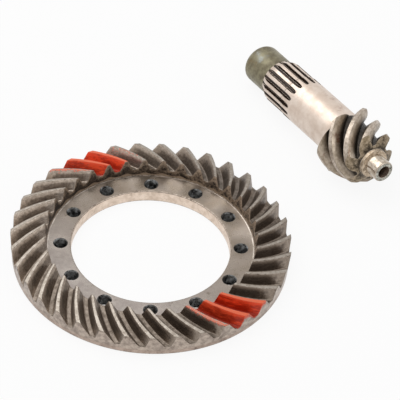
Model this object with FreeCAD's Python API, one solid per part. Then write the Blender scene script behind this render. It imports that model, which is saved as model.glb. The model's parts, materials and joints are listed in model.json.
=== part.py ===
import FreeCAD, Part
import math
import os

# Ring and pinion gear set of a driven axle, in millimetres.
# The ring gear lies flat with its teeth up. Its back face is z = 0 and its bore
# axis is the z axis. The pinion lies beside it on the same surface.

# The pair: tooth counts, and the spiral that they share at mid face
RING_TEETH = 35
PINION_TEETH = 6
RING_SPIRAL_DEG = 39.0
PRESSURE_DEG = 22.0

# Ring gear: flange, bore and bolt holes
BORE_DIAMETER = 176.7
FLANGE_THICKNESS = 15.0
BORE_CHAMFER = 0.8
BOLT_CIRCLE_DIAMETER = 200.0
BOLT_COUNT = 12
BOLT_HOLE_DIAMETER = 14.4
BOLT_MOUTH_DIAMETER = 16.4
FIRST_BOLT_DEG = 123.1

# Ring gear: rim, toe wall and tooth band
RIM_DIAMETER = 307.0
RIM_CHAMFER = 2.0
RIM_BAND_HEIGHT = 7.0
HEEL_ROOT_HEIGHT = 13.0
HEEL_TIP_RADIUS = 155.6
HEEL_TIP_HEIGHT = 27.3
TOE_FOOT_RADIUS = 115.3
TOE_WALL_RADIUS = 115.9
TOE_WALL_HEIGHT = 23.5
TOE_TIP_RADIUS = 118.0
TOE_TIP_HEIGHT = 35.5
ROOT_SLOPE_DEG = 15.5

# Ring gear: the face cutter whose rim sweeps each tooth space
CUTTER_RADIUS = 152.4
CUTTER_POINT_WIDTH = 5.0
CUTTER_EDGE_RADIUS = 1.6
FIRST_SPACE_DEG = 119.95

# Pinion: shaft, from the tail to the nose
TAIL_DIAMETER = 46.8
TAIL_LENGTH = 42.0
TAIL_ROUNDING = 8.0
NECK_CONE_LENGTH = 9.0
SPLINE_DIAMETER = 54.0
SPLINE_SEAT_LENGTH = 34.0
JOURNAL_DIAMETER = 55.0
JOURNAL_LENGTH = 89.0
COLLAR_DIAMETER = 35.0
COLLAR_LENGTH = 4.0
PILOT_DIAMETER = 25.0
PILOT_LENGTH = 18.5
PILOT_CHAMFER = 1.0
CENTRE_MOUTH_DIAMETER = 15.0
CENTRE_BORE_DIAMETER = 5.0
CENTRE_BORE_LENGTH = 6.0
CENTRE_CONE_DEG = 60.0

# Pinion: splines, milled by a round cutter that leaves a rounded run-out
SPLINE_COUNT = 18
SPLINE_LENGTH = 38.0
SPLINE_DEPTH = 3.6
SPLINE_FLOOR_WIDTH = 3.2
SPLINE_FLANK_DEG = 15.0
SPLINE_CUTTER_RADIUS = 16.0
FIRST_SPLINE_DEG = 0.0

# Pinion: head and teeth
HEAD_LENGTH = 44.0
HEAD_HEEL_RADIUS = 42.5
HEAD_TOE_RADIUS = 33.8
HEAD_TOE_CHAMFER = 3.0
HEEL_ROOT_RADIUS = 27.0
TOE_ROOT_RADIUS = 22.0
HEEL_BACK_LENGTH = 8.0
TOE_FACE_LENGTH = 5.0
PINION_LEAD = 146.0
HEEL_TOOTH_SHARE = 0.51
TOE_TOOTH_SHARE = 0.58
FIRST_TOOTH_DEG = 0.0

# Where the pinion lies: its heel beside the ring, nose to the front
PINION_HEEL_X = 214.5
PINION_HEEL_Y = 170.4
PINION_AZIMUTH_DEG = 54.6
PINION_ROLL_DEG = -2.5

# Allowances of the cutting tools, and how finely the teeth are worked out
OVERCUT = 2.0
SECTION_COUNT = 9
FLANK_STEPS = 4
REST_MESH = 0.05
REST_STEPS = 30
REST_TILT_LIMIT_DEG = 45.0

ORIGIN = FreeCAD.Vector(0, 0, 0)
X_AXIS = FreeCAD.Vector(1, 0, 0)
Y_AXIS = FreeCAD.Vector(0, 1, 0)
Z_AXIS = FreeCAD.Vector(0, 0, 1)


def sin_deg(angle):
    return math.sin(math.radians(angle))


def cos_deg(angle):
    return math.cos(math.radians(angle))


def tan_deg(angle):
    return math.tan(math.radians(angle))


def between(start, end, share):
    return start + (end - start) * share


def flat(radius, height):
    """Point in the xz plane, where outlines are drawn before they are turned."""
    return FreeCAD.Vector(radius, 0, height)


def polyline(points):
    return [Part.LineSegment(start, end).toShape() for start, end in zip(points, points[1:])]


def turned(edges):
    """Solid of revolution about z from a closed outline in the xz plane."""
    return Part.Face(Part.Wire(edges)).revolve(ORIGIN, Z_AXIS, 360)


def around(shape, count, first_deg=0.0):
    """Copies of a shape at equal angles round the z axis."""
    copies = []
    for index in range(count):
        copy = shape.copy()
        copy.rotate(ORIGIN, Z_AXIS, first_deg + index * 360.0 / count)
        copies.append(copy)
    return copies


def ring_blank():
    """Forged and turned blank: flange, toe wall, face cone, heel face and rim."""
    bore = BORE_DIAMETER / 2
    rim = RIM_DIAMETER / 2
    corners = [
        flat(bore + BORE_CHAMFER, 0),
        flat(bore, BORE_CHAMFER),
        flat(bore, FLANGE_THICKNESS - BORE_CHAMFER),
        flat(bore + BORE_CHAMFER, FLANGE_THICKNESS),
        flat(TOE_FOOT_RADIUS, FLANGE_THICKNESS),
        flat(TOE_WALL_RADIUS, TOE_WALL_HEIGHT),
        flat(TOE_TIP_RADIUS, TOE_TIP_HEIGHT),
        flat(HEEL_TIP_RADIUS, HEEL_TIP_HEIGHT),
        flat(rim, RIM_BAND_HEIGHT),
        flat(rim, RIM_CHAMFER),
        flat(rim - RIM_CHAMFER, 0),
    ]
    return turned(polyline(corners + corners[:1]))


def bolt_hole():
    """One bolt hole, drilled through the flange and countersunk on the toothed side."""
    hole = BOLT_HOLE_DIAMETER / 2
    mouth = BOLT_MOUTH_DIAMETER / 2
    depth = mouth - hole
    corners = [
        flat(0, -OVERCUT),
        flat(hole, -OVERCUT),
        flat(hole, FLANGE_THICKNESS - depth),
        flat(mouth + OVERCUT, FLANGE_THICKNESS + OVERCUT),
        flat(0, FLANGE_THICKNESS + OVERCUT),
    ]
    cutter = turned(polyline(corners + corners[:1]))
    cutter.translate(X_AXIS * (BOLT_CIRCLE_DIAMETER / 2))
    return cutter


def blade_outline(height):
    """Section of the cutter rim: flat point, rounded edges and sloping blades."""
    half = CUTTER_POINT_WIDTH / 2
    edge = CUTTER_EDGE_RADIUS
    start = edge * tan_deg((90 - PRESSURE_DEG) / 2)
    middle = (90 - PRESSURE_DEG) / 2
    lower = flat(half - start, 0)
    bend = flat(half - start + edge * sin_deg(middle), edge - edge * cos_deg(middle))
    upper = flat(half + start * sin_deg(PRESSURE_DEG), start * cos_deg(PRESSURE_DEG))
    top = flat(half + height * tan_deg(PRESSURE_DEG), height)

    def mirrored(point):
        return flat(-point.x, point.z)

    right = [Part.Arc(lower, bend, upper).toShape()] + polyline([upper, top, mirrored(top)])
    left = polyline([mirrored(top), mirrored(upper)])
    left.append(Part.Arc(mirrored(upper), mirrored(bend), mirrored(lower)).toShape())
    return Part.Wire(right + left + polyline([mirrored(lower), lower]))


def ring_space():
    """One tooth space, swept by the rim of a round face cutter.

    The cutter turns in the root plane, so the space follows a circular arc
    with the spiral angle at mid face, and has a flat, sloping bottom."""
    mean_radius = (HEEL_TIP_RADIUS + TOE_TIP_RADIUS) / 2
    mean_height = HEEL_ROOT_HEIGHT + (RIM_DIAMETER / 2 - mean_radius) * tan_deg(ROOT_SLOPE_DEG)
    face_width = HEEL_TIP_RADIUS - TOE_TIP_RADIUS
    half_arc = math.degrees(face_width / cos_deg(RING_SPIRAL_DEG) / CUTTER_RADIUS)
    outline = blade_outline(HEEL_TIP_HEIGHT - HEEL_ROOT_HEIGHT + OVERCUT)
    outline.translate(X_AXIS * CUTTER_RADIUS)
    outline.rotate(ORIGIN, Z_AXIS, RING_SPIRAL_DEG - 90 - half_arc)
    sweep = Part.Face(outline).revolve(ORIGIN, Z_AXIS, 2 * half_arc)
    sweep.translate(X_AXIS * (-CUTTER_RADIUS * sin_deg(RING_SPIRAL_DEG)))
    sweep.translate(Y_AXIS * (CUTTER_RADIUS * cos_deg(RING_SPIRAL_DEG)))
    sweep.rotate(ORIGIN, Y_AXIS, ROOT_SLOPE_DEG)
    sweep.translate(flat(mean_radius, mean_height))
    return sweep


def ring_gear():
    """Ring gear, cut from one blank."""
    drilled = ring_blank().cut(around(bolt_hole(), BOLT_COUNT, FIRST_BOLT_DEG))
    return drilled.cut(around(ring_space(), RING_TEETH, FIRST_SPACE_DEG))


def spline_start():
    """Height of the tail end of the splines, with the heel tips at zero."""
    return -HEEL_BACK_LENGTH - JOURNAL_LENGTH - SPLINE_SEAT_LENGTH


def tail_end():
    return spline_start() - NECK_CONE_LENGTH - TAIL_LENGTH


def nose_end():
    return HEAD_LENGTH + TOE_FACE_LENGTH + COLLAR_LENGTH + PILOT_LENGTH


def shaft_outline():
    """Outline of the tail, its rounded end, the neck cone, the splined part and the journal.

    The splined part is a little slimmer, so that the bearings slide over it to the journal."""
    tail = TAIL_DIAMETER / 2
    splined = SPLINE_DIAMETER / 2
    journal = JOURNAL_DIAMETER / 2
    journal_start = -HEEL_BACK_LENGTH - JOURNAL_LENGTH
    middle = TAIL_ROUNDING * (1 - sin_deg(45))
    end_face = flat(tail - TAIL_ROUNDING, tail_end())
    bend = flat(tail - middle, tail_end() + middle)
    side = flat(tail, tail_end() + TAIL_ROUNDING)
    corners = [
        side,
        flat(tail, spline_start() - NECK_CONE_LENGTH),
        flat(splined, spline_start()),
        flat(splined, journal_start + splined - journal),
        flat(journal, journal_start),
        flat(journal, -HEEL_BACK_LENGTH),
    ]
    return [Part.Arc(end_face, bend, side).toShape()] + polyline(corners)


def head_outline():
    """Outline of the head cone, the collar and the pilot, from the journal on."""
    collar = COLLAR_DIAMETER / 2
    pilot = PILOT_DIAMETER / 2
    collar_start = HEAD_LENGTH + TOE_FACE_LENGTH
    collar_end = collar_start + COLLAR_LENGTH
    return polyline([
        flat(JOURNAL_DIAMETER / 2, -HEEL_BACK_LENGTH),
        flat(HEAD_HEEL_RADIUS, 0),
        flat(HEAD_TOE_RADIUS, HEAD_LENGTH - HEAD_TOE_CHAMFER),
        flat(HEAD_TOE_RADIUS - HEAD_TOE_CHAMFER, HEAD_LENGTH),
        flat(collar, collar_start),
        flat(collar, collar_end),
        flat(pilot, collar_end),
        flat(pilot, nose_end() - PILOT_CHAMFER),
        flat(pilot - PILOT_CHAMFER, nose_end()),
        flat(0, nose_end()),
        flat(0, tail_end()),
        flat(TAIL_DIAMETER / 2 - TAIL_ROUNDING, tail_end()),
    ])


def centre_hole(end_height, turn_deg):
    """Centre drilling at one end of the shaft, a cone that leads into a small bore."""
    mouth = CENTRE_MOUTH_DIAMETER / 2
    drill = CENTRE_BORE_DIAMETER / 2
    slope = tan_deg(CENTRE_CONE_DEG / 2)
    cone_end = (drill - mouth) / slope
    bore_end = cone_end - CENTRE_BORE_LENGTH
    corners = [
        flat(0, OVERCUT),
        flat(0, bore_end - drill),
        flat(drill, bore_end),
        flat(drill, cone_end),
        flat(mouth + OVERCUT * slope, OVERCUT),
    ]
    cutter = turned(polyline(corners + corners[:1]))
    cutter.rotate(ORIGIN, Y_AXIS, turn_deg)
    cutter.translate(Z_AXIS * end_height)
    return cutter


def pinion_blank():
    """Turned pinion, nose upwards, with the tips of its heel at z = 0."""
    shaft = turned(shaft_outline() + head_outline())
    return shaft.cut([centre_hole(nose_end(), 0), centre_hole(tail_end(), 180)])


def pinion_flank_angle(radius, pitch, tooth_share):
    """Half of the angle that a tooth space takes at a radius, in radians.

    The flank is an involute above its base circle and radial below it."""
    spiral = math.atan(2 * math.pi * pitch / PINION_LEAD)
    transverse = math.atan(tan_deg(PRESSURE_DEG) / math.cos(spiral))
    base = pitch * math.cos(transverse)
    half_space = math.pi / PINION_TEETH * (1 - tooth_share)
    foot = half_space - (math.tan(transverse) - transverse)
    if radius <= base:
        return foot
    pressure = math.acos(base / radius)
    return foot + math.tan(pressure) - pressure


def pinion_section(height):
    """Outline of one tooth space across the pinion at one height."""
    share = height / HEAD_LENGTH
    root = between(HEEL_ROOT_RADIUS, TOE_ROOT_RADIUS, share)
    tip = between(HEAD_HEEL_RADIUS, HEAD_TOE_RADIUS, share)
    pitch = (root + tip) / 2
    tooth_share = between(HEEL_TOOTH_SHARE, TOE_TOOTH_SHARE, share)
    turn = 2 * math.pi * height / PINION_LEAD

    def point(radius, side):
        angle = turn + side * pinion_flank_angle(radius, pitch, tooth_share)
        return FreeCAD.Vector(radius * math.cos(angle), radius * math.sin(angle), height)

    radii = [between(root, tip + OVERCUT, step / FLANK_STEPS) for step in range(FLANK_STEPS + 1)]
    rising = Part.BSplineCurve()
    rising.interpolate([point(radius, -1) for radius in radii])
    falling = Part.BSplineCurve()
    falling.interpolate([point(radius, 1) for radius in reversed(radii)])
    return Part.Wire([
        Part.Arc(point(radii[0], 1), point(radii[0], 0), point(radii[0], -1)).toShape(),
        rising.toShape(),
        Part.Arc(point(radii[-1], -1), point(radii[-1], 0), point(radii[-1], 1)).toShape(),
        falling.toShape(),
    ])


def pinion_space():
    """One spiral tooth space of the pinion, from behind the heel past the toe."""
    start = -HEEL_BACK_LENGTH - OVERCUT
    end = HEAD_LENGTH + TOE_FACE_LENGTH + OVERCUT
    steps = SECTION_COUNT - 1
    sections = [pinion_section(between(start, end, step / steps)) for step in range(SECTION_COUNT)]
    return Part.makeLoft(sections, True, False)


def spline_groove():
    """One spline groove: a straight cut that ends in the arc of its round cutter."""
    floor = SPLINE_DIAMETER / 2 - SPLINE_DEPTH
    depth = SPLINE_DEPTH + OVERCUT
    half = SPLINE_FLOOR_WIDTH / 2
    wide = half + depth * tan_deg(SPLINE_FLANK_DEG)
    start = spline_start() - NECK_CONE_LENGTH - OVERCUT
    end = spline_start() + SPLINE_LENGTH
    corners = [
        FreeCAD.Vector(floor, -half, end),
        FreeCAD.Vector(floor, half, end),
        FreeCAD.Vector(floor + depth, wide, end),
        FreeCAD.Vector(floor + depth, -wide, end),
    ]
    section = Part.Face(Part.Wire(polyline(corners + corners[:1])))
    straight = section.extrude(Z_AXIS * (start - end))
    cutter_centre = FreeCAD.Vector(floor + SPLINE_CUTTER_RADIUS, 0, end)
    run_out = section.revolve(cutter_centre, Y_AXIS, 90)
    return straight.fuse(run_out)


def rest_tilt(shape):
    """Tilt and height at which head and shaft both touch the ground.

    The shape lies along x, and its nose rises. The search halves its range of
    tilts until the lowest points of head and shaft are level."""
    points = shape.tessellate(REST_MESH)[0]
    head = [point for point in points if point.x >= -HEEL_BACK_LENGTH]
    shaft = [point for point in points if point.x < -HEEL_BACK_LENGTH]

    def lowest(group, angle):
        return min(point.x * sin_deg(angle) + point.z * cos_deg(angle) for point in group)

    low = 0.0
    high = REST_TILT_LIMIT_DEG
    for _ in range(REST_STEPS):
        middle = (low + high) / 2
        if lowest(head, middle) < lowest(shaft, middle):
            low = middle
        else:
            high = middle
    return low, -lowest(head, low)


def drive_pinion():
    """Pinion, cut from one blank and laid down beside the ring gear."""
    splined = pinion_blank().cut(around(spline_groove(), SPLINE_COUNT, FIRST_SPLINE_DEG))
    shape = splined.cut(around(pinion_space(), PINION_TEETH, FIRST_TOOTH_DEG))
    shape.rotate(ORIGIN, Z_AXIS, PINION_ROLL_DEG)
    shape.rotate(ORIGIN, Y_AXIS, 90)
    tilt, height = rest_tilt(shape)
    shape.rotate(ORIGIN, Y_AXIS, -tilt)
    shape.rotate(ORIGIN, Z_AXIS, -PINION_AZIMUTH_DEG)
    shape.translate(FreeCAD.Vector(PINION_HEEL_X, PINION_HEEL_Y, height))
    return shape


os.makedirs("parts", exist_ok=True)
for name, build in (("ring_gear", ring_gear), ("drive_pinion", drive_pinion)):
    piece = build()
    print(name, piece.isValid(), len(piece.Solids), round(piece.Volume))
    piece.exportStep("parts/" + name + ".step")
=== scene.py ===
"""Ring and pinion gear set: a used spiral ring gear and its drive pinion, dressed round the CAD frame."""
import json
import logging
import math
from collections import Counter
from dataclasses import dataclass
from enum import Enum
from functools import reduce
from typing import Callable

import bpy
from mathutils import Matrix, Vector


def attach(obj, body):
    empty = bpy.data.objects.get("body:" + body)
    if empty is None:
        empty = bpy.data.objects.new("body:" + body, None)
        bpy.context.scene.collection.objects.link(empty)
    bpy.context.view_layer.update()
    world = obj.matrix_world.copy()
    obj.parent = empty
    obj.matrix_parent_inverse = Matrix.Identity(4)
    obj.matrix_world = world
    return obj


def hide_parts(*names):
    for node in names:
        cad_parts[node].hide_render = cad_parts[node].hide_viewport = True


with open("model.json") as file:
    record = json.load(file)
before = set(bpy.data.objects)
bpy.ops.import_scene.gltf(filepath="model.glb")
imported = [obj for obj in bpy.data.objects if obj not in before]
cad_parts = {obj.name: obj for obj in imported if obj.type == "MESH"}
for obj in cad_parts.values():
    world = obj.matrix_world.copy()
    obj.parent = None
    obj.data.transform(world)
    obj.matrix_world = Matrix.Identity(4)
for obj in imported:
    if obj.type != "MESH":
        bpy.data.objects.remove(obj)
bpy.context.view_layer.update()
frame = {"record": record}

LOG = logging.getLogger("gear_set")

MILLIMETRE = 0.001
FLAT_GAP = 1e-6
SEAM_GAP_MM = 0.002
SHARP_DEG = 32.0
SMOOTH_DEG = 34.0
HALVINGS = 30
# Name of the map that tells the place on a tooth, and the value on it that is off all teeth
TOOTH_MAP = "tooth"
OFF_TEETH = 3.0

Material = bpy.types.Material
Node = bpy.types.Node
Piece = bpy.types.Object
Tree = bpy.types.NodeTree
Part = bpy.types.MeshEdge | bpy.types.MeshPolygon
Place = Callable[[int, int], Vector]
Band = tuple[float, float, float]
Circle = tuple[float, float, int]


class ToolLines(Enum):
    """Which way the marks of the last cut run on a surface."""

    NONE = {}
    FACED = {"wave_type": "RINGS", "rings_direction": "Z"}
    TURNED = {"wave_type": "BANDS", "bands_direction": "Z"}


@dataclass(frozen=True)
class ToothMap:
    """Where the parts of a tooth lie on the map round a gear, counted in columns of one pitch."""

    columns: float
    space_middle: float
    flank_foot: float
    flank_columns: float


@dataclass(frozen=True)
class MarkingPaint:
    """The thin red paint brushed over a few teeth, as sRGB hex values; each surface has its own copy, pale
    on lands and edges as painted light and darker on flanks and floors as painted shade.
    """

    light: str
    dark: str
    cover: float = 1.0


@dataclass(frozen=True)
class PaintedHighlight:
    """A painted highlight: a pale patch on the wax, its middle in the gear's own frame, reach and colour."""

    middle_mm: tuple[float, float, float]
    reach_mm: float
    colour: str


@dataclass(frozen=True)
class SteelFinish:
    """How one steel surface looks.

    Sizes are in millimetres and colours are sRGB hex values."""

    name: str
    light: str
    dark: str
    stain: str
    stain_share: float = 0.3
    mottle_mm: float = 5.0
    smudge: float = 0.0
    roughness: float = 0.38
    metallic: float = 0.85
    lines: ToolLines = ToolLines.NONE
    line_mm: float = 1.0
    line_depth_mm: float = 0.0
    grain_depth_mm: float = 0.004
    # Painted shade laid over one side of the gear: its colour, heading and share
    side_shade: str = ""
    side_shade_heading_deg: float = 0.0
    side_shade_share: float = 0.0
    rubbed: str = ""
    rubbed_share: float = 0.0
    # Dirt and painted shade in the corner at a wall's foot
    corner_dirt_and_shade: Band | None = None
    # A paler band towards the tooth ends
    paler_tips: Band | None = None
    # Painted shade towards the tooth root
    root_shade: float = 0.0
    bright_ring_mm: float = 0.0
    ring_half_mm: float = 0.4
    # Painted highlight
    painted_highlight: PaintedHighlight | None = None
    paint: MarkingPaint | None = None


@dataclass(frozen=True)
class PaintPatch:
    """One brushed patch of marking paint on the ring's teeth.

    Places are counted in teeth round the ring, from -17.5 to 17.5, and from toe (0) to heel (1)."""

    start: float
    end: float
    toe_edge: float
    heel_edge: float
    cover: float
    ragged: float


def linear(hex_colour: str) -> tuple[float, float, float, float]:
    """Turns an sRGB hex colour into linear values.

    Args:
        hex_colour: six hex digits.

    Returns:
        Red, green, blue and alpha.
    """
    parts = [int(hex_colour[i:i + 2], 16) / 255 for i in (0, 2, 4)]
    spread = [p / 12.92 if p <= 0.04045 else ((p + 0.055) / 1.055) ** 2.4 for p in parts]
    return (spread[0], spread[1], spread[2], 1.0)


def add_node(tree: Tree, kind: str, *values: object, **settings: object) -> Node:
    """Adds a node with its settings and links.

    Args:
        tree: the material's or world's node tree.
        kind: the node's type name without its ShaderNode prefix.
        values: a value, node or socket for each input in turn, or one dict of them by input.
        settings: attributes of the node.

    Returns:
        The new node.
    """
    node = tree.nodes.new("ShaderNode" + kind)
    for name, value in settings.items():
        setattr(node, name, value)
    by_input = values[0] if values and isinstance(values[0], dict) else dict(enumerate(values))
    for key, value in by_input.items():
        if isinstance(value, Node):
            value = next(output for output in value.outputs if output.enabled)
        if isinstance(value, bpy.types.NodeSocket):
            tree.links.new(value, node.inputs[key])
        else:
            node.inputs[key].default_value = value
    return node


def seen_directly(tree: Tree) -> Node:
    """Mask that is 1 where the camera, a reflection or a refraction looks.

    Args:
        tree: the node tree that the mask is added to.

    Returns:
        The mask.
    """
    path = add_node(tree, "LightPath").outputs
    seen = add_node(tree, "Math", path["Is Camera Ray"], path["Is Glossy Ray"], operation="MAXIMUM")
    return add_node(tree, "Math", seen, path["Is Transmission Ray"], operation="MAXIMUM")


def halved(low: float, high: float, is_below: Callable[[float], bool]) -> float:
    """Finds where a test stops holding, by halving the range.

    Args:
        low: a value for which the test holds.
        high: a value for which it doesn't.
        is_below: the test.

    Returns:
        The value between them at which the test turns.
    """
    for _ in range(HALVINGS):
        middle = (low + high) / 2
        low, high = (middle, high) if is_below(middle) else (low, middle)
    return (low + high) / 2


def between(start: float, end: float, share: float) -> float:
    """Value at a share of the way from start to end."""
    return start + (end - start) * share


def folded(local: int, count: int) -> tuple[float, int]:
    """Folds the columns of one pitch about its first column.

    Args:
        local: column number in the pitch.
        count: columns of one pitch.

    Returns:
        The side, 1 or -1, and how many columns away the column lies.
    """
    place = local if local <= count / 2 else local - count
    return (-1.0 if place < 0 else 1.0), abs(place)


def select_only(piece: Piece) -> None:
    """Selects one object and makes it active.

    Args:
        piece: the object.
    """
    bpy.ops.object.select_all(action="DESELECT")
    piece.select_set(True)
    bpy.context.view_layer.objects.active = piece


def wrapped_grid(
    name: str,
    columns: int,
    rows: int,
    place: Place,
    tooth_map: Callable[[int, int], tuple[float, float]],
    zone: Callable[[int, int], int],
    materials: list[Material],
) -> Piece:
    """Adds a flat grid and wraps it round into a closed form.

    Args:
        name: the new object's name.
        columns: faces round the form.
        rows: points along the profile.
        place: point in millimetres for a column and a row.
        tooth_map: map place for a column and a row.
        zone: material number for the face after a column and a row.
        materials: the materials that the numbers stand for.

    Returns:
        The wrapped mesh object, its seam still open.
    """
    bpy.ops.object.select_all(action="DESELECT")
    bpy.ops.mesh.primitive_grid_add(x_subdivisions=columns, y_subdivisions=rows - 1, size=1.0)
    grid = bpy.context.object
    grid.name = name
    mesh = grid.data
    for material in materials:
        mesh.materials.append(material)
    across = columns + 1
    for vertex in mesh.vertices:
        row, column = divmod(vertex.index, across)
        vertex.co = place(column, row) * MILLIMETRE
    layer = mesh.uv_layers[0]
    layer.name = TOOTH_MAP
    for face in mesh.polygons:
        corners = [divmod(mesh.loops[i].vertex_index, across) for i in face.loop_indices]
        face.material_index = zone(min(c[1] for c in corners), min(c[0] for c in corners))
        for index, (row, column) in zip(face.loop_indices, corners):
            layer.data[index].uv = tooth_map(column, row)
    return grid


def select_parts(piece: Piece, kind: str, wanted: Callable[[object], bool]) -> None:
    """Selects some edges or faces of a piece and stays in edit mode.

    Args:
        piece: the mesh object.
        kind: EDGE or FACE.
        wanted: tells if one edge or face is selected.
    """
    select_only(piece)
    bpy.ops.object.mode_set(mode="EDIT")
    bpy.ops.mesh.select_mode(type=kind)
    bpy.ops.mesh.select_all(action="DESELECT")
    bpy.ops.object.mode_set(mode="OBJECT")
    for part in piece.data.edges if kind == "EDGE" else piece.data.polygons:
        part.select = wanted(part)
    bpy.ops.object.mode_set(mode="EDIT")


def close_seams(piece: Piece) -> None:
    """Merges the points that meet and turns all faces outwards.

    Args:
        piece: the mesh object.
    """
    select_parts(piece, "FACE", lambda face: True)
    bpy.ops.mesh.remove_doubles(threshold=SEAM_GAP_MM * MILLIMETRE)
    bpy.ops.mesh.normals_make_consistent(inside=False)
    bpy.ops.object.mode_set(mode="OBJECT")


def break_edges(piece: Piece, width_mm: float, material: int) -> None:
    """Rounds the sharp edges as a deburring wheel does.

    Args:
        piece: the mesh object.
        width_mm: width of the rounding.
        material: number of the material that the rounding takes.
    """
    select_parts(piece, "EDGE", lambda edge: False)
    bpy.ops.mesh.edges_select_sharp(sharpness=math.radians(SHARP_DEG))
    bpy.ops.mesh.bevel(offset=width_mm * MILLIMETRE, segments=2, affect="EDGES", material=material)
    bpy.ops.object.mode_set(mode="OBJECT")


def smooth_faces(piece: Piece) -> None:
    """Shades the piece smooth apart from its sharp edges."""
    select_only(piece)
    bpy.ops.object.shade_smooth_by_angle(angle=math.radians(SMOOTH_DEG))


@dataclass
class RingGear:
    """The ring gear: flange, bolt holes, toe wall, spiral teeth, heel face and rim."""

    node: str = "ring_gear"
    slot: str = "ring_steel"
    teeth: int = 35
    spiral_deg: float = 39.0
    pressure_deg: float = 22.0
    bore_radius: float = 88.35
    bore_chamfer: float = 0.8
    flange_thickness: float = 15.0
    bolt_circle_radius: float = 100.0
    bolt_count: int = 12
    hole_radius: float = 7.2
    mouth_radius: float = 8.2
    first_bolt_deg: float = 123.1
    thread_pitch: float = 1.5
    thread_depth: float = 0.6
    thread_steps: int = 4
    edge_width: float = 0.4
    rim_radius: float = 153.5
    rim_chamfer: float = 2.0
    rim_band_height: float = 7.0
    heel_root_height: float = 13.0
    heel_tip_radius: float = 155.6
    heel_tip_height: float = 27.3
    toe_foot_radius: float = 115.3
    foot_gap: float = 0.01
    toe_wall_radius: float = 115.9
    toe_wall_height: float = 23.5
    toe_tip_radius: float = 118.0
    toe_tip_height: float = 35.5
    root_slope_deg: float = 15.5
    cutter_radius: float = 152.4
    cutter_point_width: float = 5.0
    cutter_edge_radius: float = 1.6
    first_space_deg: float = 119.95
    widest_sweep_deg: float = 14.0
    tooth_rows: int = 20
    heel_rows: int = 3
    wall_rows: int = 4
    flank_steps: int = 5
    fillet_steps: int = 3
    floor_steps: int = 3
    land_steps: int = 5
    hole_columns: int = 40

    LAND, FLANK, FLOOR, TOE, RIM, HEEL, FLANGE, BORE, BACK, THREAD, EDGE = range(11)

    def space_columns(self) -> int:
        """Faces across one tooth space."""
        return 2 * self.flank_steps + 2 * self.fillet_steps + self.floor_steps

    def face_cone_height(self, radius: float) -> float:
        """Height of the tooth tips at a radius."""
        share = (radius - self.toe_tip_radius) / (self.heel_tip_radius - self.toe_tip_radius)
        return between(self.toe_tip_height, self.heel_tip_height, share)

    def toe_wall_at(self, height: float) -> float:
        """Radius of the toe wall at a height.

        Args:
            height: height over the back face.

        Returns:
            The radius.
        """
        if height < self.toe_wall_height:
            share = (height - self.flange_thickness) / (self.toe_wall_height - self.flange_thickness)
            return between(self.toe_foot_radius, self.toe_wall_radius, share)
        share = (height - self.toe_wall_height) / (self.toe_tip_height - self.toe_wall_height)
        return between(self.toe_wall_radius, self.toe_tip_radius, share)

    def heel_face_at(self, height: float) -> float:
        """Radius of the heel face at a height."""
        share = (height - self.rim_band_height) / (self.heel_tip_height - self.rim_band_height)
        return between(self.rim_radius, self.heel_tip_radius, share)

    def cut_point(self, offset: float, height: float, sweep_deg: float) -> Vector:
        """Point that the cutter's rim reaches.

        Args:
            offset: distance from the middle of the cutter's point, away from its axis.
            height: height over the tooth space's floor.
            sweep_deg: turn of the cutter from mid face.

        Returns:
            The point for the space that lies along the x axis.
        """
        mean_radius = (self.heel_tip_radius + self.toe_tip_radius) / 2
        slope = math.radians(self.root_slope_deg)
        mean_height = self.heel_root_height + (self.rim_radius - mean_radius) * math.tan(slope)
        spiral = math.radians(self.spiral_deg)
        turn = spiral - math.pi / 2 + math.radians(sweep_deg)
        arm = self.cutter_radius + offset
        flat = Vector((
            arm * math.cos(turn) - self.cutter_radius * math.sin(spiral),
            arm * math.sin(turn) + self.cutter_radius * math.cos(spiral),
            height,
        ))
        return Matrix.Rotation(slope, 3, "Y") @ flat + Vector((mean_radius, 0, mean_height))

    def blade_point(self, station: float, flank_height: float) -> tuple[float, float]:
        """Offset and height on the cutter's outline.

        Args:
            station: column number from the top of one flank over the floor to the other.
            flank_height: height at which the flank ends.

        Returns:
            Offset from the middle and height over the floor.
        """
        pressure = math.radians(self.pressure_deg)
        half = self.cutter_point_width / 2
        edge = self.cutter_edge_radius
        start = edge * math.tan((math.pi / 2 - pressure) / 2)
        half_count = self.flank_steps + self.fillet_steps + self.floor_steps / 2
        side = 1.0 if station < half_count else -1.0
        step = abs(station - half_count)
        floor_half = self.floor_steps / 2
        if step <= floor_half + FLAT_GAP:
            return side * (half - start) * step / floor_half, 0.0
        step -= floor_half
        if step <= self.fillet_steps + FLAT_GAP:
            bend = (math.pi / 2 - pressure) * step / self.fillet_steps
            return side * (half - start + edge * math.sin(bend)), edge * (1 - math.cos(bend))
        share = (step - self.fillet_steps) / self.flank_steps
        low = start * math.cos(pressure)
        height = between(low, flank_height, share)
        return side * (half + height * math.tan(pressure)), height

    def radius_at(self, point: Vector) -> float:
        """Distance of a point from the ring's axis."""
        return math.hypot(point.x, point.y)

    def flank_top(self, side: float, sweep_deg: float) -> float:
        """Height over the floor at which a flank meets the face cone.

        Args:
            side: 1 for the flank away from the cutter's axis, -1 for the other.
            sweep_deg: turn of the cutter from mid face.

        Returns:
            The height.
        """
        slope = math.tan(math.radians(self.pressure_deg))

        def is_under(height: float) -> bool:
            """Tells if the flank is still under the face cone at a height."""
            point = self.cut_point(side * (self.cutter_point_width / 2 + height * slope), height, sweep_deg)
            return point.z < self.face_cone_height(self.radius_at(point))

        return halved(0.0, 2 * (self.heel_tip_height - self.heel_root_height), is_under)

    def outline_point(self, station: int, sweep_deg: float) -> Vector:
        """Point of the tooth space for a column and a turn of the cutter.

        Args:
            station: column number across the tooth space.
            sweep_deg: turn of the cutter from mid face.

        Returns:
            The point.
        """
        middle = self.flank_steps + self.fillet_steps + self.floor_steps / 2
        top = self.flank_top(1.0 if station < middle else -1.0, sweep_deg)
        offset, height = self.blade_point(station, top)
        return self.cut_point(offset, height, sweep_deg)

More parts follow.
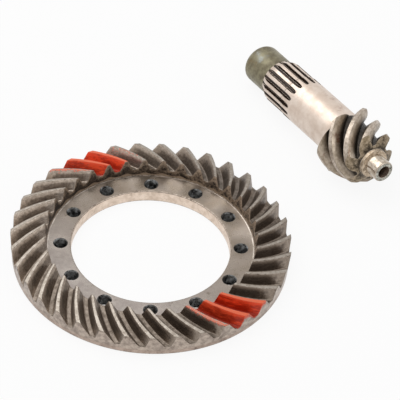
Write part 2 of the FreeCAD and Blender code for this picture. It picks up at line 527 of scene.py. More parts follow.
    def end_sweep(self, station: int, wall: Callable[[float], float], low: float, high: float) -> float:
        """Turn of the cutter at which a column reaches the toe wall or the heel face.

        Args:
            station: column number across the tooth space.
            wall: radius of the wall at a height.
            low: a turn of the cutter short of the wall.
            high: a turn beyond it.

        Returns:
            The turn in degrees.
        """
        def is_inside(sweep_deg: float) -> bool:
            """Tells if the cutter is still inside the wall."""
            point = self.outline_point(station, sweep_deg)
            return self.radius_at(point) < wall(point.z)

        return halved(low, high, is_inside)

    def space_table(self) -> list[list[Vector]]:
        """Points of one tooth space, one list of rows for each column.

        Returns:
            The points.
        """
        table = []
        for station in range(self.space_columns() + 1):
            toe = self.end_sweep(station, self.toe_wall_at, -self.widest_sweep_deg, 0.0)
            heel = self.end_sweep(station, self.heel_face_at, 0.0, self.widest_sweep_deg)
            turns = [between(toe, heel, j / self.tooth_rows) for j in range(self.tooth_rows + 1)]
            table.append([self.outline_point(station, turn) for turn in turns])
        return table

    def pitch_table(self) -> list[list[Vector]]:
        """Points of one tooth space and the land beyond it.

        Returns:
            One list of points from toe to heel for each column.
        """
        table = self.space_table()
        last = table[-1]
        pitch = math.tau / self.teeth
        turned = Matrix.Rotation(pitch, 3, "Z")
        following = [turned @ point for point in table[0]]
        for step in range(1, self.land_steps):
            share = step / self.land_steps
            column = []
            for row, (a, b) in enumerate(zip(last, following)):
                angle = between(math.atan2(a.y, a.x), math.atan2(b.y, b.x), share)
                radius = between(self.radius_at(a), self.radius_at(b), share)
                if row == 0:
                    radius = self.toe_tip_radius
                if row == self.tooth_rows:
                    radius = self.heel_tip_radius
                height = self.face_cone_height(radius)
                column.append(Vector((radius * math.cos(angle), radius * math.sin(angle), height)))
            table.append(column)
        return table

    def plain_rows(self) -> list[Circle]:
        """Plain circles from the rim over the back and the bore to the flange.

        Returns:
            Radius, height and zone of each circle.
        """
        foot = self.toe_foot_radius
        bore = self.bore_radius
        edge = self.bore_chamfer
        top = self.flange_thickness
        return [
            (self.rim_radius, self.rim_band_height, self.RIM),
            (self.rim_radius, self.rim_chamfer, self.RIM),
            (self.rim_radius - self.rim_chamfer, 0.0, self.BACK),
            (foot, 0.0, self.BACK),
            (bore + edge, 0.0, self.BORE),
            (bore, edge, self.BORE),
            (bore, top - edge, self.BORE),
            (bore + edge, top, self.FLANGE),
            (foot, top, self.TOE),
        ]

    def build(self, materials: list[Material]) -> Piece:
        """Builds the ring gear's mesh.

        Args:
            materials: one material for each kind of surface.

        Returns:
            The ring gear, closed, with its bolt holes.
        """
        table = self.pitch_table()
        per_pitch = self.space_columns() + self.land_steps
        plain = self.plain_rows()
        first_plain = self.tooth_rows + 1 + self.heel_rows
        first_wall = first_plain + len(plain)
        rows = first_wall + self.wall_rows + 1
        pitch = math.tau / self.teeth
        first = math.radians(self.first_space_deg)

        def place(column: int, row: int) -> Vector:
            """Point of the ring for a column and a row.

            Args:
                column: column number round the form.
                row: row number along its profile.

            Returns:
                The point in millimetres.
            """
            tooth, local = divmod(column, per_pitch)
            turn = Matrix.Rotation(first + (tooth % self.teeth) * pitch, 3, "Z")
            line = table[local]
            if row <= self.tooth_rows:
                return turn @ line[row]
            heel, toe = line[-1], line[0]
            if row < first_plain:
                share = (row - self.tooth_rows) / (self.heel_rows + 1)
                height = between(heel.z, self.rim_band_height, share)
                return turn @ self.on_circle(heel, self.heel_face_at(height), height)
            if row < first_wall:
                radius, height, _ = plain[row - first_plain]
                return turn @ self.on_circle(heel if radius > self.toe_foot_radius else toe, radius, height)
            share = (row - first_wall + 1) / (self.wall_rows + 1)
            height = between(self.flange_thickness, toe.z, share)
            return turn @ self.on_circle(toe, self.toe_wall_at(height), height)

        def tooth_map(column: int, row: int) -> tuple[float, float]:
            """Place on the tooth map for a column and a row.

            Args:
                column: column number round the form.
                row: row number along its profile.

            Returns:
                Teeth round the ring, and toe (0) to heel (1).
            """
            if row <= self.tooth_rows:
                along = row / self.tooth_rows
            elif row < first_wall:
                along = 1.0 + (row - self.tooth_rows) / (self.heel_rows + 1)
            else:
                along = -1.0 + (row - first_wall + 1) / (self.wall_rows + 1)
            return column / per_pitch, along

        floor_start = self.flank_steps + self.fillet_steps
        floor_end = floor_start + self.floor_steps

        def zone(column: int, row: int) -> int:
            """Kind of surface of the face after a column and a row.

            Args:
                column: column number round the form.
                row: row number along its profile.

            Returns:
                The material's number.
            """
            local = column % per_pitch
            if row < self.tooth_rows:
                if local >= self.space_columns():
                    return self.LAND
                return self.FLOOR if floor_start - 1 <= local <= floor_end else self.FLANK
            if row < first_plain:
                return self.HEEL
            return plain[min(row - first_plain, len(plain) - 1)][2]

        columns = per_pitch * self.teeth
        ring = wrapped_grid("ring_gear_steel", columns, rows, place, tooth_map, zone, materials)
        close_seams(ring)
        break_edges(ring, self.edge_width, self.EDGE)
        self.open_flange(ring)
        self.add_holes(ring, materials)
        self.fill_flange(ring)
        smooth_faces(ring)
        return ring

    def on_circle(self, point: Vector, radius: float, height: float) -> Vector:
        """Point at a point's angle on another circle."""
        scale = radius / self.radius_at(point)
        return Vector((point.x * scale, point.y * scale, height))

    def lies_flat(self, ring: Piece, part: Part, height: float) -> bool:
        """Tells if all points of an edge or face lie at a height in millimetres."""
        points = ring.data.vertices
        return all(abs(points[i].co.z - height * MILLIMETRE) < FLAT_GAP for i in part.vertices)

    def open_flange(self, ring: Piece) -> None:
        """Takes away the flange's two flat faces, which the bolt holes go through.

        Args:
            ring: the ring gear.
        """
        points = ring.data.vertices
        foot = (self.toe_foot_radius + self.foot_gap) * MILLIMETRE

        def is_flange(face: Part) -> bool:
            """Tells if a face is one of the flange's flat faces."""
            flat = self.lies_flat(ring, face, 0.0) or self.lies_flat(ring, face, self.flange_thickness)
            return flat and max(points[i].co.xy.length for i in face.vertices) < foot

        select_parts(ring, "FACE", is_flange)
        bpy.ops.mesh.delete(type="FACE")
        bpy.ops.object.mode_set(mode="OBJECT")

    def hole_rows(self) -> list[float]:
        """Heights of the points down one bolt hole.

        Returns:
            The heights from the mouth down.
        """
        depth = self.mouth_radius - self.hole_radius
        top = self.flange_thickness
        count = round((top - depth) / (self.thread_pitch / self.thread_steps))
        return [top] + [between(top - depth, 0.0, i / count) for i in range(count + 1)]

    def add_holes(self, ring: Piece, materials: list[Material]) -> None:
        """Adds the wall of each bolt hole, with its countersunk mouth and thread.

        Args:
            ring: the ring gear, its flange open.
            materials: one material for each kind of surface.
        """
        heights = self.hole_rows()
        last = len(heights) - 1
        holes = []
        for index in range(self.bolt_count):
            angle = math.radians(self.first_bolt_deg + 360 / self.bolt_count * index)
            middle = Vector((math.cos(angle), math.sin(angle), 0)) * self.bolt_circle_radius

            def place(column: int, row: int, middle: Vector = middle) -> Vector:
                """Point of one hole's wall for a column and a row.

                Args:
                    column: column number round the form.
                    row: row number along its profile.
                    middle: middle of the hole.

                Returns:
                    The point in millimetres.
                """
                turn = column / self.hole_columns
                height = heights[row]
                radius = self.hole_radius if row else self.mouth_radius
                if 1 < row < last - 1:
                    phase = (height / self.thread_pitch + turn) % 1.0
                    radius += self.thread_depth * (1 - abs(2 * phase - 1))
                around = math.tau * turn
                return middle + Vector((radius * math.cos(around), radius * math.sin(around), height))

            holes.append(wrapped_grid(
                "bolt_hole", self.hole_columns, len(heights), place,
                lambda column, row: (column / self.hole_columns, OFF_TEETH),
                lambda column, row: self.THREAD, materials,
            ))
        select_only(ring)
        for hole in holes:
            hole.select_set(True)
        bpy.ops.object.join()
        close_seams(ring)

    def fill_flange(self, ring: Piece) -> None:
        """Closes the flange's two flat faces round the bolt holes.

        Args:
            ring: the ring gear, with the walls of its holes.
        """
        for level, zone in ((self.flange_thickness, self.FLANGE), (0.0, self.BACK)):
            shared = Counter(key for face in ring.data.polygons for key in face.edge_keys)

            def is_open(edge: Part) -> bool:
                """Tells if an edge at this level has a face on one side only."""
                return self.lies_flat(ring, edge, level) and shared[edge.key] == 1

            select_parts(ring, "EDGE", is_open)
            bpy.ops.mesh.fill(use_beauty=True)
            bpy.ops.object.mode_set(mode="OBJECT")
            for face in ring.data.polygons:
                if self.lies_flat(ring, face, level):
                    face.material_index = zone
        close_seams(ring)


@dataclass
class DrivePinion:
    """The pinion: tail, splines, journal, spiral teeth, collar and pilot."""

    node: str = "drive_pinion"
    slot: str = "pinion_steel"
    teeth: int = 6
    pressure_deg: float = 22.0
    tail_radius: float = 23.4
    tail_length: float = 42.0
    tail_rounding: float = 8.0
    neck_length: float = 9.0
    spline_radius: float = 27.0
    spline_seat_length: float = 34.0
    journal_radius: float = 27.5
    journal_length: float = 89.0
    spline_count: int = 18
    spline_length: float = 38.0
    spline_depth: float = 3.6
    spline_floor_half: float = 1.6
    spline_flank_deg: float = 15.0
    spline_cutter_radius: float = 16.0
    finger_length: float = 3.0
    head_length: float = 44.0
    heel_radius: float = 42.5
    toe_radius: float = 33.8
    toe_chamfer: float = 3.0
    heel_root_radius: float = 27.0
    toe_root_radius: float = 22.0
    heel_back_length: float = 8.0
    toe_face_length: float = 5.0
    lead: float = 146.0
    heel_tooth_share: float = 0.51
    toe_tooth_share: float = 0.58
    collar_radius: float = 17.5
    collar_length: float = 4.0
    pilot_radius: float = 12.5
    pilot_length: float = 18.5
    pilot_chamfer: float = 1.0
    centre_mouth_radius: float = 7.5
    centre_drill_radius: float = 2.5
    centre_bore_length: float = 6.0
    centre_slope_deg: float = 30.0
    roll_deg: float = -2.5
    root_fillet: float = 1.8
    edge_width: float = 0.3
    search_step: float = 0.7
    per_tooth: int = 48
    floor_steps: int = 8
    fillet_steps: int = 3
    flank_steps: int = 9
    land_steps: int = 16
    groove_floor_steps: int = 2
    groove_steps: int = 4
    tooth_rows: int = 26
    rounding_rows: int = 8
    side_rows: int = 4
    neck_rows: int = 8
    run_out_rows: int = 16
    journal_rows: int = 14
    cone_rows: int = 4

    (LAND, FLANK, FLOOR, TOE_FACE, HEEL_BACK, JOURNAL, GROOVE, TAIL, COLLAR, PILOT, END_FACE, CENTRE,
     EDGE) = range(13)

    def spline_start(self) -> float:
        """Height of the tail end of the splines over the heel."""
        return self.journal_start() - self.spline_seat_length

    def journal_start(self) -> float:
        """Height of the tail end of the ground journal over the heel."""
        return -self.heel_back_length - self.journal_length

    def shaft_radius(self, height: float) -> float:
        """Radius of the shaft from the neck cone to the journal.

        Args:
            height: height over the heel.

        Returns:
            The radius.
        """
        start = self.spline_start()
        if height < start:
            share = (height - start + self.neck_length) / self.neck_length
            return between(self.tail_radius, self.spline_radius, max(share, 0.0))
        seat = self.journal_start()
        step = self.journal_radius - self.spline_radius
        share = min(max((height - seat + step) / step, 0.0), 1.0)
        return between(self.spline_radius, self.journal_radius, share)

    def run_out(self) -> float:
        """Length over which the round cutter leaves a spline groove."""
        depth = self.journal_radius - self.spline_radius + self.spline_depth
        return math.sqrt(2 * self.spline_cutter_radius * depth - depth ** 2)

    def tail_end(self) -> float:
        """Height of the tail's end face."""
        return self.spline_start() - self.neck_length - self.tail_length

    def nose_end(self) -> float:
        """Height of the nose's end face."""
        return self.head_length + self.toe_face_length + self.collar_length + self.pilot_length

    def root_at(self, height: float) -> float:
        """Radius of the tooth spaces' floor."""
        return between(self.heel_root_radius, self.toe_root_radius, height / self.head_length)

    def tip_at(self, height: float) -> float:
        """Radius over the teeth."""
        return between(self.heel_radius, self.toe_radius, height / (self.head_length - self.toe_chamfer))

    def flank_angle(self, radius: float, height: float) -> float:
        """Half of the angle that a tooth space takes at a radius, in radians.

        Args:
            radius: distance from the axis.
            height: height over the heel.

        Returns:
            The angle.
        """
        share = height / self.head_length
        pitch = (self.root_at(height) + between(self.heel_radius, self.toe_radius, share)) / 2
        spiral = math.atan(math.tau * pitch / self.lead)
        transverse = math.atan(math.tan(math.radians(self.pressure_deg)) / math.cos(spiral))
        base = pitch * math.cos(transverse)
        tooth_share = between(self.heel_tooth_share, self.toe_tooth_share, share)
        foot = math.pi / self.teeth * (1 - tooth_share) - (math.tan(transverse) - transverse)
        if radius <= base:
            return foot
        pressure = math.acos(base / radius)
        return foot + math.tan(pressure) - pressure

    def heel_height(self, radius: float) -> float:
        """Height of the heel back cone at a radius."""
        share = (radius - self.journal_radius) / (self.heel_radius - self.journal_radius)
        return between(-self.heel_back_length, 0.0, share)

    def toe_height(self, radius: float) -> float:
        """Height of the toe face at a radius.

        Args:
            radius: distance from the axis.

        Returns:
            The height.
        """
        edge = self.toe_radius - self.toe_chamfer
        if radius >= edge:
            return self.head_length - (radius - edge)
        share = (edge - radius) / (edge - self.collar_radius)
        return between(self.head_length, self.head_length + self.toe_face_length, share)

    def section_point(self, local: int, height: float) -> tuple[float, float]:
        """Angle and radius of one column of the toothed head at a height.

        Args:
            local: column number in the pitch.
            height: height over the heel.

        Returns:
            The angle from the middle of the space and the radius.
        """
        root = self.root_at(height)
        tip = self.tip_at(height)
        foot = self.flank_angle(root, height)
        inset = self.root_fillet / root
        half_floor = self.floor_steps / 2
        to_fillet = half_floor + self.fillet_steps
        to_land = to_fillet + self.flank_steps
        pitch = math.tau / self.teeth
        side, step = folded(local, self.per_tooth)
        if step <= half_floor:
            return side * (foot - inset) * step / half_floor, root
        if step <= to_fillet:
            bend = math.pi / 2 * (step - half_floor) / self.fillet_steps
            return (side * (foot - inset + inset * math.sin(bend)),
                    root + self.root_fillet * (1 - math.cos(bend)))
        if step <= to_land:
            share = (step - to_fillet) / self.flank_steps
            radius = between(root + self.root_fillet, tip, share)
            return side * self.flank_angle(radius, height), radius
        edge = self.flank_angle(tip, height)
        share = (step - to_land) / (self.land_steps / 2)
        return side * between(edge, pitch / 2, share), tip

    def end_point(self, local: int, wall: Callable[[float], float], start: float) -> float:
        """Height at which a column reaches the heel back or the toe face.

        Args:
            local: column number in the pitch.
            wall: height of the end face at a radius.
            start: height at which the search starts.

        Returns:
            The height.
        """
        height = start
        for _ in range(HALVINGS):
            _, radius = self.section_point(local, height)
            height = between(height, wall(radius), self.search_step)
        return height

    def groove_half_angle(self, surface: float, height: float) -> tuple[float, float, float]:
        """Half angles of a spline groove at its top and floor, and the floor's radius.

        Args:
            surface: radius of the shaft.
            height: height over the heel.

        Returns:
            The half angles in radians and the radius.
        """
        floor = self.spline_radius - self.spline_depth
        past = height - (self.spline_start() + self.spline_length)
        cutter = self.spline_cutter_radius
        if past > 0:
            floor += cutter - math.sqrt(max(cutter * cutter - past * past, 0.0))
        floor = min(floor, surface)
        depth = surface - floor
        finger = min(max((self.run_out() - past) / self.finger_length, 0.0), 1.0)
        narrow = math.sqrt(1 - (1 - finger) ** 2)
        half = self.spline_floor_half * narrow
        top = (self.spline_floor_half + depth * math.tan(math.radians(self.spline_flank_deg))) * narrow
        return top / surface, half / floor, floor

    def spline_point(self, column: int, surface: float, height: float) -> tuple[float, float]:
        """Angle and radius of one column of the splined part of the shaft.

        Args:
            column: column number round the shaft.
            surface: radius of the shaft.
            height: height over the heel.

        Returns:
            The angle and the radius.
        """
        per_spline = self.per_tooth * self.teeth // self.spline_count
        index, local = divmod(column, per_spline)
        pitch = math.tau / self.spline_count
        if local > per_spline / 2:
            index += 1
        side, step = folded(local, per_spline)
        top, bottom, floor = self.groove_half_angle(surface, height)
        to_wall, to_land = self.groove_floor_steps, self.groove_steps
        if step <= to_wall:
            angle, radius = bottom * step / to_wall, floor
        elif step < to_land:
            share = (step - to_wall) / (to_land - to_wall)
            angle, radius = between(bottom, top, share), between(floor, surface, share)
        else:
            angle, radius = between(top, pitch / 2, (step - to_land) / (per_spline / 2 - to_land)), surface
        return index * pitch + side * angle, radius

    def axis_frame(self) -> Matrix:
        """Place of the pinion, read from its pilot's mount in the record.

        Returns:
            The matrix from the upright pinion, nose up and heel at zero, to where it lies.
        """
        mount = next(m for m in frame["record"]["mounts"] if m["name"] == "pinion_pilot")
        axis = Vector(mount["axis"]).normalized()
        pilot_middle = (self.nose_end() - self.pilot_chamfer + self.nose_end() - self.pilot_length) / 2
        heel = Vector(mount["pos_m"]) / MILLIMETRE - axis * pilot_middle
        azimuth = math.atan2(axis.y, axis.x)
        tilt = math.asin(axis.z)
        turn = Matrix.Rotation(azimuth, 4, "Z") @ Matrix.Rotation(math.pi / 2 - tilt, 4, "Y")
        return Matrix.Translation(heel) @ turn @ Matrix.Rotation(math.radians(self.roll_deg), 4, "Z")

    def centre_hole(self, end: float, inwards: float) -> list[Circle]:
        """Circles of a turning centre, from its mouth inwards.

        Args:
            end: height of the end face.
            inwards: 1 if the hole goes up from the end face, -1 if it goes down.

        Returns:
            Radius, height and zone of each circle.
        """
        mouth, drill = self.centre_mouth_radius, self.centre_drill_radius
        cone = (mouth - drill) / math.tan(math.radians(self.centre_slope_deg))
        bore = cone + self.centre_bore_length
        depths = ((mouth, 0.0), (drill, cone), (drill, bore), (0.0, bore + drill))
        return [(radius, end + inwards * depth, self.CENTRE) for radius, depth in depths]

    def tail_profile(self) -> list[Circle]:
        """Circles from the tail's turning centre to the neck.

        Returns:
            Radius, height and zone of each circle.
        """
        end = self.tail_end()
        flat = self.tail_radius - self.tail_rounding
        rows = self.centre_hole(end, 1.0)[:0:-1] + [
            (self.centre_mouth_radius, end, self.TAIL),
            ((self.centre_mouth_radius + flat) / 2, end, self.TAIL),
        ]
        for step in range(self.rounding_rows + 1):
            bend = math.pi / 2 * step / self.rounding_rows
            height = end + self.tail_rounding * (1 - math.cos(bend))
            rows.append((flat + self.tail_rounding * math.sin(bend), height, self.TAIL))
        neck = self.spline_start() - self.neck_length
        side = end + self.tail_rounding
        heights = [between(side, neck, i / self.side_rows) for i in range(1, self.side_rows + 1)]
        return rows + [(self.tail_radius, height, self.TAIL) for height in heights]

    def nose_profile(self) -> list[Circle]:
        """Circles from the collar to the nose's turning centre.

        Returns:
            Radius, height and zone of each circle.
        """
        collar_start = self.head_length + self.toe_face_length
        collar_end = collar_start + self.collar_length
        end = self.nose_end()
        return [
            (self.collar_radius, collar_start, self.COLLAR),
            (self.collar_radius, collar_end, self.COLLAR),
            (self.pilot_radius, collar_end, self.PILOT),
            (self.pilot_radius, between(collar_end, end, 0.5), self.PILOT),
            (self.pilot_radius, end - self.pilot_chamfer, self.PILOT),
            (self.pilot_radius - self.pilot_chamfer, end, self.END_FACE),
        ] + self.centre_hole(end, -1.0)

    def spline_heights(self) -> list[float]:
        """Heights of the rows from the neck cone to the end of the grooves' run-out.

        Returns:
            The heights, tail end first.
        """
        start = self.spline_start()
        neck = start - self.neck_length
        full = start + self.spline_length
        seat = self.journal_start()
        step = self.journal_radius - self.spline_radius
        count = self.run_out_rows
        heights = [between(neck, start, i / self.neck_rows) for i in range(1, self.neck_rows + 1)]
        heights += [between(start, seat - step, i / self.side_rows) for i in range(1, self.side_rows + 1)]
        heights += [seat, full]
        heights += [full + self.run_out() * math.sin(math.pi / 2 * i / count) for i in range(1, count + 1)]
        return heights

    def build(self, materials: list[Material]) -> Piece:
        """Builds the pinion's mesh, where it lies.

        Args:
            materials: one material for each kind of surface.

        Returns:
            The pinion, closed.
        """
        columns = self.per_tooth * self.teeth
        tail = self.tail_profile()
        splines = self.spline_heights()
        nose = self.nose_profile()
        pitch = math.tau / self.teeth
        twist = math.tau / self.lead
        tooth_columns = range(self.per_tooth)
        start = -self.heel_back_length / 2
        heel_line = [self.end_point(local, self.heel_height, start) for local in tooth_columns]
        toe_line = [self.end_point(local, self.toe_height, self.head_length) for local in tooth_columns]
        first_spline = len(tail)
        first_journal = first_spline + len(splines)
        first_heel = first_journal + self.journal_rows
        first_tooth = first_heel + self.cone_rows
        first_toe = first_tooth + self.tooth_rows + 1
        first_nose = first_toe + self.cone_rows
        rows = first_nose + len(nose)
        neck = self.spline_start() - self.neck_length
        shift = round(-twist * self.heel_back_length / (math.tau) * columns)
        lying = self.axis_frame()

        def head_angle(column: int, height: float) -> tuple[float, float]:
            """Angle and radius of a column of the toothed head, with its twist.

            Args:
                column: column number round the head.
                height: height over the heel.

            Returns:
                The angle and the radius.
            """
            tooth, local = divmod(column, self.per_tooth)
            angle, radius = self.section_point(local, height)
            if local > self.per_tooth / 2:
                tooth += 1
            return tooth * pitch + angle + twist * height, radius

        def shaft_angle(column: int, surface: float, height: float) -> tuple[float, float]:
            """Angle and radius of a column of the splined shaft."""
            return self.spline_point(column + shift, surface, height)

        def polar(angle: float, radius: float, height: float) -> Vector:
            """Point, where the pinion lies, from an angle, a radius and a height."""
            return lying @ Vector((radius * math.cos(angle), radius * math.sin(angle), height))

        def place(column: int, row: int) -> Vector:
            """Point of the pinion for a column and a row.

            Args:
                column: column number round the form.
                row: row number along its profile.

            Returns:
                The point in millimetres.
            """
            local = column % self.per_tooth
            if row < first_spline:
                radius, height, _ = tail[row]
                angle, _ = shaft_angle(column, self.tail_radius, neck)
                return polar(angle, radius, height)
            if row < first_journal:
                height = splines[row - first_spline]
                return polar(*shaft_angle(column, self.shaft_radius(height), height), height)
            foot_angle, _ = head_angle(column, -self.heel_back_length)
            if row < first_heel:
                share = (row - first_journal + 1) / self.journal_rows
                height = between(splines[-1], -self.heel_back_length, share)
                start_angle, _ = shaft_angle(column, self.journal_radius, splines[-1])
                return polar(between(start_angle, foot_angle, share), self.journal_radius, height)
            if row < first_tooth:
                share = (row - first_heel + 1) / (self.cone_rows + 1)
                edge_angle, edge_radius = head_angle(column, heel_line[local])
                radius = between(self.journal_radius, edge_radius, share)
                return polar(between(foot_angle, edge_angle, share), radius, self.heel_height(radius))
            if row < first_toe:
                share = (row - first_tooth) / self.tooth_rows
                height = between(heel_line[local], toe_line[local], share)
                return polar(*head_angle(column, height), height)
            even_angle = math.tau * column / columns + twist * self.head_length
            if row < first_nose:
                edge_angle, edge_radius = head_angle(column, toe_line[local])
                share = (row - first_toe + 1) / (self.cone_rows + 1)
                radius = between(edge_radius, self.collar_radius, share)
                return polar(between(edge_angle, even_angle, share), radius, self.toe_height(radius))
            radius, height, _ = nose[row - first_nose]
            return polar(even_angle, radius, height)

        def tooth_map(column: int, row: int) -> tuple[float, float]:
            """Place on the tooth map for a column and a row.

            Args:
                column: column number round the form.
                row: row number along its profile.

            Returns:
                Teeth round the head, and toe (0) to heel (1).
            """
            along = (first_toe - 1 - row) / self.tooth_rows
            return column / self.per_tooth, along

        half_floor = self.floor_steps // 2
        to_flank = half_floor + self.fillet_steps
        to_land = to_flank + self.flank_steps

        def zone(column: int, row: int) -> int:
            """Kind of surface of the face after a column and a row.

            Args:
                column: column number round the form.
                row: row number along its profile.

            Returns:
                The material's number.
            """
            if row < first_spline - 1:
                return tail[row][2]
            if row < first_journal - 1:
                per_spline = columns // self.spline_count
                local = (column + shift) % per_spline
                step = min(local, per_spline - 1 - local)
                return self.GROOVE if step < self.groove_steps else self.JOURNAL
            if row < first_heel - 1:
                return self.JOURNAL
            if row < first_tooth:
                return self.HEEL_BACK
            local = column % self.per_tooth
            step = min(local, self.per_tooth - 1 - local)
            if row < first_toe - 1:
                if step < half_floor + 1:
                    return self.FLOOR
                return self.FLANK if step < to_land else self.LAND
            if row < first_nose:
                return self.TOE_FACE
            return nose[min(row - first_nose, len(nose) - 1)][2]

        pinion = wrapped_grid("drive_pinion_steel", columns, rows, place, tooth_map, zone, materials)
        close_seams(pinion)
        break_edges(pinion, self.edge_width, self.EDGE)
        smooth_faces(pinion)
        return pinion


RING_MAP = ToothMap(columns=24, space_middle=9.5, flank_foot=4.5, flank_columns=5)
PINION_MAP = ToothMap(columns=48, space_middle=0, flank_foot=7, flank_columns=9)

RING_PAINT = (
    PaintPatch(start=-0.30, end=1.34, toe_edge=-0.03, heel_edge=1.04, cover=1.0, ragged=0.10),
    PaintPatch(start=1.86, end=2.00, toe_edge=0.10, heel_edge=1.02, cover=0.75, ragged=0.22),
    PaintPatch(start=-1.10, end=-1.02, toe_edge=0.30, heel_edge=0.85, cover=0.55, ragged=0.40),
    PaintPatch(start=-16.66, end=-15.0, toe_edge=-0.03, heel_edge=1.28, cover=1.0, ragged=0.12),
    PaintPatch(start=-17.21, end=-17.03, toe_edge=0.03, heel_edge=1.0, cover=0.65, ragged=0.22),
)


@dataclass(frozen=True)
class GearLayout:
    """What the patterns of one gear are laid out from."""

    teeth: int
    tooth_map: ToothMap
    axis: Matrix
    paint: tuple[PaintPatch, ...] = ()


class SteelSurface:
    """Makes the material of one steel surface of a gear."""

    ROUGHNESS_SPREAD = 0.07
    STAIN_SOFTNESS = 0.10
    OIL_SOOT = "1d1814"
    # Dirt and painted shade in the corner at a wall's foot
    CORNER_DIRT_AND_SHADE = "1f1811"
    # Painted shade towards the tooth root
    ROOT_SHADE = "17120d"
    BARE_EDGE = "e6dbcf"

    def __init__(self, finish: SteelFinish, layout: GearLayout) -> None:
        """Opens an empty material and lays out its coordinates.

        Args:
            finish: the surface's colours, sizes and depths.
            layout: the gear's teeth, axis and paint.
        """
        self.finish = finish
        self.layout = layout
        self.material = bpy.data.materials.new(finish.name)
        self.material.use_nodes = True
        self.tree = self.material.node_tree
        self.tree.nodes.clear()
        turn = layout.axis.to_3x3().inverted()
        # Coordinates in metres with z along the gear's axis
        self.place = self.add("Mapping", {
            "Vector": self.add("TexCoord").outputs["Object"],
            "Location": -(turn @ layout.axis.translation) * MILLIMETRE,
            "Rotation": turn.to_euler(),
        })
        self.mottle = self.clouds(finish.mottle_mm, 6.0, 0.65)
        self.uv = self.add("UVMap", uv_map=TOOTH_MAP)
        parts = self.add("SeparateXYZ", self.uv)
        self.around = parts.outputs["X"]
        self.along = parts.outputs["Y"]
        self.flank_height = self.height_on_flank()

    def add(self, kind: str, *values: object, **settings: object) -> Node:
        """Adds a node to this material."""
        return add_node(self.tree, kind, *values, **settings)

    def product(self, *factors: object) -> object:
        """Product of masks and numbers."""
        return reduce(lambda first, second: self.add("Math", first, second, operation="MULTIPLY"), factors)

    def pushed(self, value: object, pattern: object, reach: float) -> Node:
        """Value pushed up by a pattern, which makes the edge of a mask ragged."""
        return self.add("Math", pattern, reach, value, operation="MULTIPLY_ADD")

    def distance(self, value: object, middle: float) -> Node:
        """How far a value lies from a middle, either way."""
        return self.add("Math", self.add("Math", value, middle, operation="SUBTRACT"), operation="ABSOLUTE")

    def fade(self, value: object, start: float, end: float) -> Node:
        """Mask that rises smoothly from 0 at start to 1 at end."""
        return self.add("MapRange", value, start, end, interpolation_type="SMOOTHSTEP")

    def window(self, value: object, low: float, high: float, soft: float) -> Node:
        """Mask that is 1 between two values and fades out beyond them.

        Args:
            value: what is tested.
            low: start of the window.
            high: end of the window.
            soft: half width of each fade.

        Returns:
            The mask.
        """
        half = (high - low) / 2
        return self.fade(self.distance(value, (low + high) / 2), half + soft, half - soft)

    def clouds(self, size_mm: float, detail: float = 5.0, roughness: float = 0.6) -> Node:
        """Cloudy pattern laid out in millimetres.

        Args:
            size_mm: about how wide a spot is.
            detail: how many finer patterns lie in it.
            roughness: how strong they are.

        Returns:
            The pattern, from 0 to 1.
        """
        return self.add("TexNoise", {
            "Vector": self.place, "Scale": 1 / (size_mm * MILLIMETRE),
            "Detail": detail, "Roughness": roughness,
        })

    def streaks(self, across: float, along: float) -> Node:
        """Cloudy pattern laid along the teeth, with its repeats over a pitch and over the face width."""
        laid = self.add("Mapping", {"Vector": self.uv, "Scale": (across, along, 1.0)})
        return self.add("TexNoise", {"Vector": laid, "Scale": 1.0, "Detail": 5.0, "Roughness": 0.7})

    def height_on_flank(self) -> Node:
        """Height on a flank, from 0 at its foot to 1 at its top.

        Returns:
            The height, folded over from both sides of the tooth space.
        """
        spots = self.layout.tooth_map
        half = spots.columns / 2
        column = self.product(self.add("Math", self.around, operation="FRACT"), spots.columns)
        folded = self.distance(self.distance(column, spots.space_middle), half)
        return self.pushed((half - spots.flank_foot) / spots.flank_columns, folded, -1 / spots.flank_columns)

    def laid_over(self, colour: object, hex_colour: str, *masks: object) -> Node:
        """Colour with another one laid over it where all the masks let it show."""
        return self.add("Mix", {0: self.product(*masks), 6: colour, 7: linear(hex_colour)}, data_type="RGBA")

    def banded(self, colour: Node, hex_colour: str, band: Band) -> Node:
        """Tints a ragged band across the teeth's ends.

        Args:
            colour: the colour so far.
            hex_colour: sRGB colour of the band.
            band: where the band starts and is full, from toe (0) to heel (1), and its share.

        Returns:
            The tinted colour.
        """
        start, full, share = band
        centred = self.add("Math", self.mottle, 0.5, operation="SUBTRACT")
        ragged = self.pushed(self.along, centred, abs(full - start) * 2)
        return self.laid_over(colour, hex_colour, self.fade(ragged, start, full), share)

    def side_shaded(self, colour: Node) -> Node:
        """Adds painted shade on one side of the gear: a patchy dark colour that fades in across it.

        Args:
            colour: the colour so far.

        Returns:
            The colour with the painted shade.
        """
        heading = math.radians(self.finish.side_shade_heading_deg)
        direction = (math.cos(heading), math.sin(heading), 0.0)
        side = self.add("VectorMath", self.place, direction, operation="DOT_PRODUCT")
        shade_mask = self.fade(side, -110 * MILLIMETRE, 60 * MILLIMETRE)
        patchy = self.pushed(0.6, self.fade(self.clouds(24.0, 5.0, 0.7), 0.25, 0.75), 0.5)
        return self.laid_over(colour, self.finish.side_shade, shade_mask, patchy, self.finish.side_shade_share)

    def rubbed(self, colour: Node) -> Node:
        """Darkens the part of a flank that the other gear rubs, with light streaks along the tooth.

        Args:
            colour: the colour so far.

        Returns:
            The rubbed colour.
        """
        clouds = self.streaks(7.0, 5.0)
        streaks = self.streaks(60.0, 4.0)
        up = self.pushed(self.pushed(self.flank_height, clouds, 0.5), streaks, 0.35)
        length = self.pushed(self.pushed(self.along, clouds, 0.8), streaks, 0.3)
        streaky = self.pushed(0.5, self.fade(streaks, 0.35, 0.60), 0.5)
        colour = self.laid_over(colour, self.finish.rubbed, streaky, self.window(up, 0.20, 1.12, 0.10),
                                self.window(length, 0.46, 1.36, 0.10), self.finish.rubbed_share)
        return self.laid_over(colour, self.finish.light, self.fade(streaks, 0.54, 0.70), 0.45)

